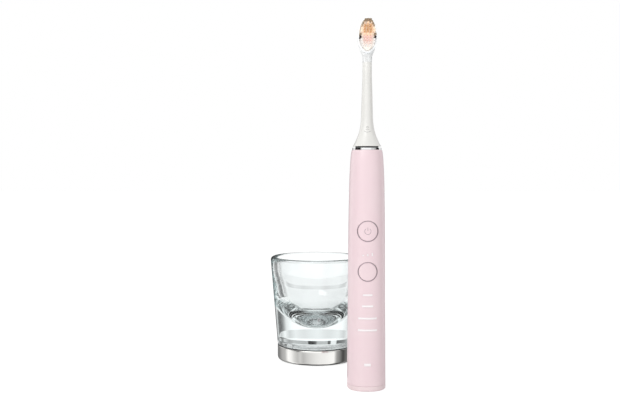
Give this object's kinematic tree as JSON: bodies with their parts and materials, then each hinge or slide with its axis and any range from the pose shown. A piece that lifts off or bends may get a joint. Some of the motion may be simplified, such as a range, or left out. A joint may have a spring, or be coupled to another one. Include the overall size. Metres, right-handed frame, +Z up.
{
  "type": "electric toothbrush with charging glass",
  "caption": "Slim rechargeable toothbrush standing on its foot beside a glass tumbler that rests on a low round charging base.",
  "frame": {"origin": "centre of the charging base's underside, on the surface everything stands on", "axes": "+Z up; the front of the object, with the toothbrush's buttons and bristles, faces -Y; +X to the right"},
  "size_m": [0.0839, 0.1431, 0.2554],
  "materials": {
    "handle_pink": "soft satin moulded plastic, pink",
    "cap_pink": "satin moulded plastic, paler pink",
    "neck_white": "satin warm white plastic",
    "chrome": "polished",
    "ring_metal": "dark anodised ring",
    "window": "translucent white insert",
    "surround": "clear soft elastomer",
    "clear_plate": "clear plastic",
    "bristle_cream": "cream bristles",
    "bristle_tan": "tan bristles",
    "bristle_pink": "pink bristles",
    "bristle_dark": "dark indicator bristles",
    "seal_rubber": "matt",
    "frame_plastic": "moulded",
    "dark_plastic": "moulded",
    "board_green": "solder-masked circuit board",
    "chip_black": "moulded",
    "led": "clear",
    "steel": "machined",
    "magnet": "nickel plated magnet",
    "laminations": "stacked silicon steel",
    "ferrite": "sintered ferrite",
    "copper": "enamelled copper wire",
    "bronze": "sintered bronze",
    "cell_wrap": "wrapped cell",
    "nickel": "nickel strip",
    "base_plastic": "light grey",
    "glass": "clear, fire-polished rim"
  },
  "bodies": {
    "handle": {"handle_housing": "handle_pink", "base_cap": "cap_pink", "cap_seal": "seal_rubber", "top_collar": "chrome", "shaft_seal": "seal_rubber", "power_ring": "ring_metal", "mode_ring": "ring_metal", "mode_windows": "window", "intensity_windows": "window", "battery_window": "window", "inner_frame": "frame_plastic", "main_board": "board_green", "board_screws": "steel", "board_components": "chip_black", "tact_switches": "chip_black", "indicator_leds": "led", "light_boxes": "dark_plastic", "coil_bobbin": "frame_plastic", "coil_core": "ferrite", "charging_coil": "copper", "battery_cell": "cell_wrap", "battery_tabs": "nickel", "motor_can": "steel", "stator_core": "laminations", "stator_coils": "copper", "motor_end_plates": "steel", "shaft_bushes": "bronze", "spring_anchor": "steel", "torsion_bar": "steel"},
    "drive_train": {"drive_shaft": "steel", "rotor_yoke": "steel", "rotor_magnets": "magnet"},
    "brush_head": {"brush_neck": "neck_white", "coupling_insert": "frame_plastic", "grip_spring": "steel", "id_tag": "copper", "tuft_plate": "clear_plate", "head_surround": "surround", "outer_tufts": "bristle_cream", "centre_tufts": "bristle_tan", "polish_tufts": "bristle_pink", "side_tufts": "bristle_dark"},
    "power_button": {"power_button": "handle_pink", "power_switch_stem": "dark_plastic"},
    "mode_button": {"mode_button": "handle_pink", "mode_switch_stem": "dark_plastic"},
    "charging_base": {"base_shell": "chrome", "base_top_plate": "base_plastic", "glass_seat_ring": "seal_rubber", "base_bottom_cover": "dark_plastic", "base_foot": "seal_rubber", "base_screws": "steel", "base_board": "board_green", "base_board_parts": "chip_black", "primary_coil": "copper", "ferrite_plate": "ferrite", "cord_gland": "seal_rubber"},
    "glass": {"charging_glass": "glass"}
  },
  "joints": [
    {"name": "glass_lift", "type": "slide", "parent": "charging_base", "child": "glass", "axis": [0, 0, 1], "range_m": [0, 0.12]},
    {"name": "toothbrush_lift", "type": "slide", "parent": "charging_base", "child": "handle", "axis": [0, 0, 1], "range_m": [0, 0.15]},
    {"name": "shaft_sweep", "type": "hinge", "parent": "handle", "child": "drive_train", "pos_m": [0.034, -0.092, 0.13], "axis": [0, 0, 1], "range_deg": [-5, 5], "stiffness_Nm_per_rad": 0.2},
    {"name": "brush_head_pull", "type": "slide", "parent": "drive_train", "child": "brush_head", "axis": [0, 0, 1], "range_m": [0, 0.03]},
    {"name": "power_button_press", "type": "slide", "parent": "handle", "child": "power_button", "axis": [0, 1, 0], "range_m": [0, 0.0004], "stiffness_N_per_m": 4000},
    {"name": "mode_button_press", "type": "slide", "parent": "handle", "child": "mode_button", "axis": [0, 1, 0], "range_m": [0, 0.0004], "stiffness_N_per_m": 4000}
  ]
}
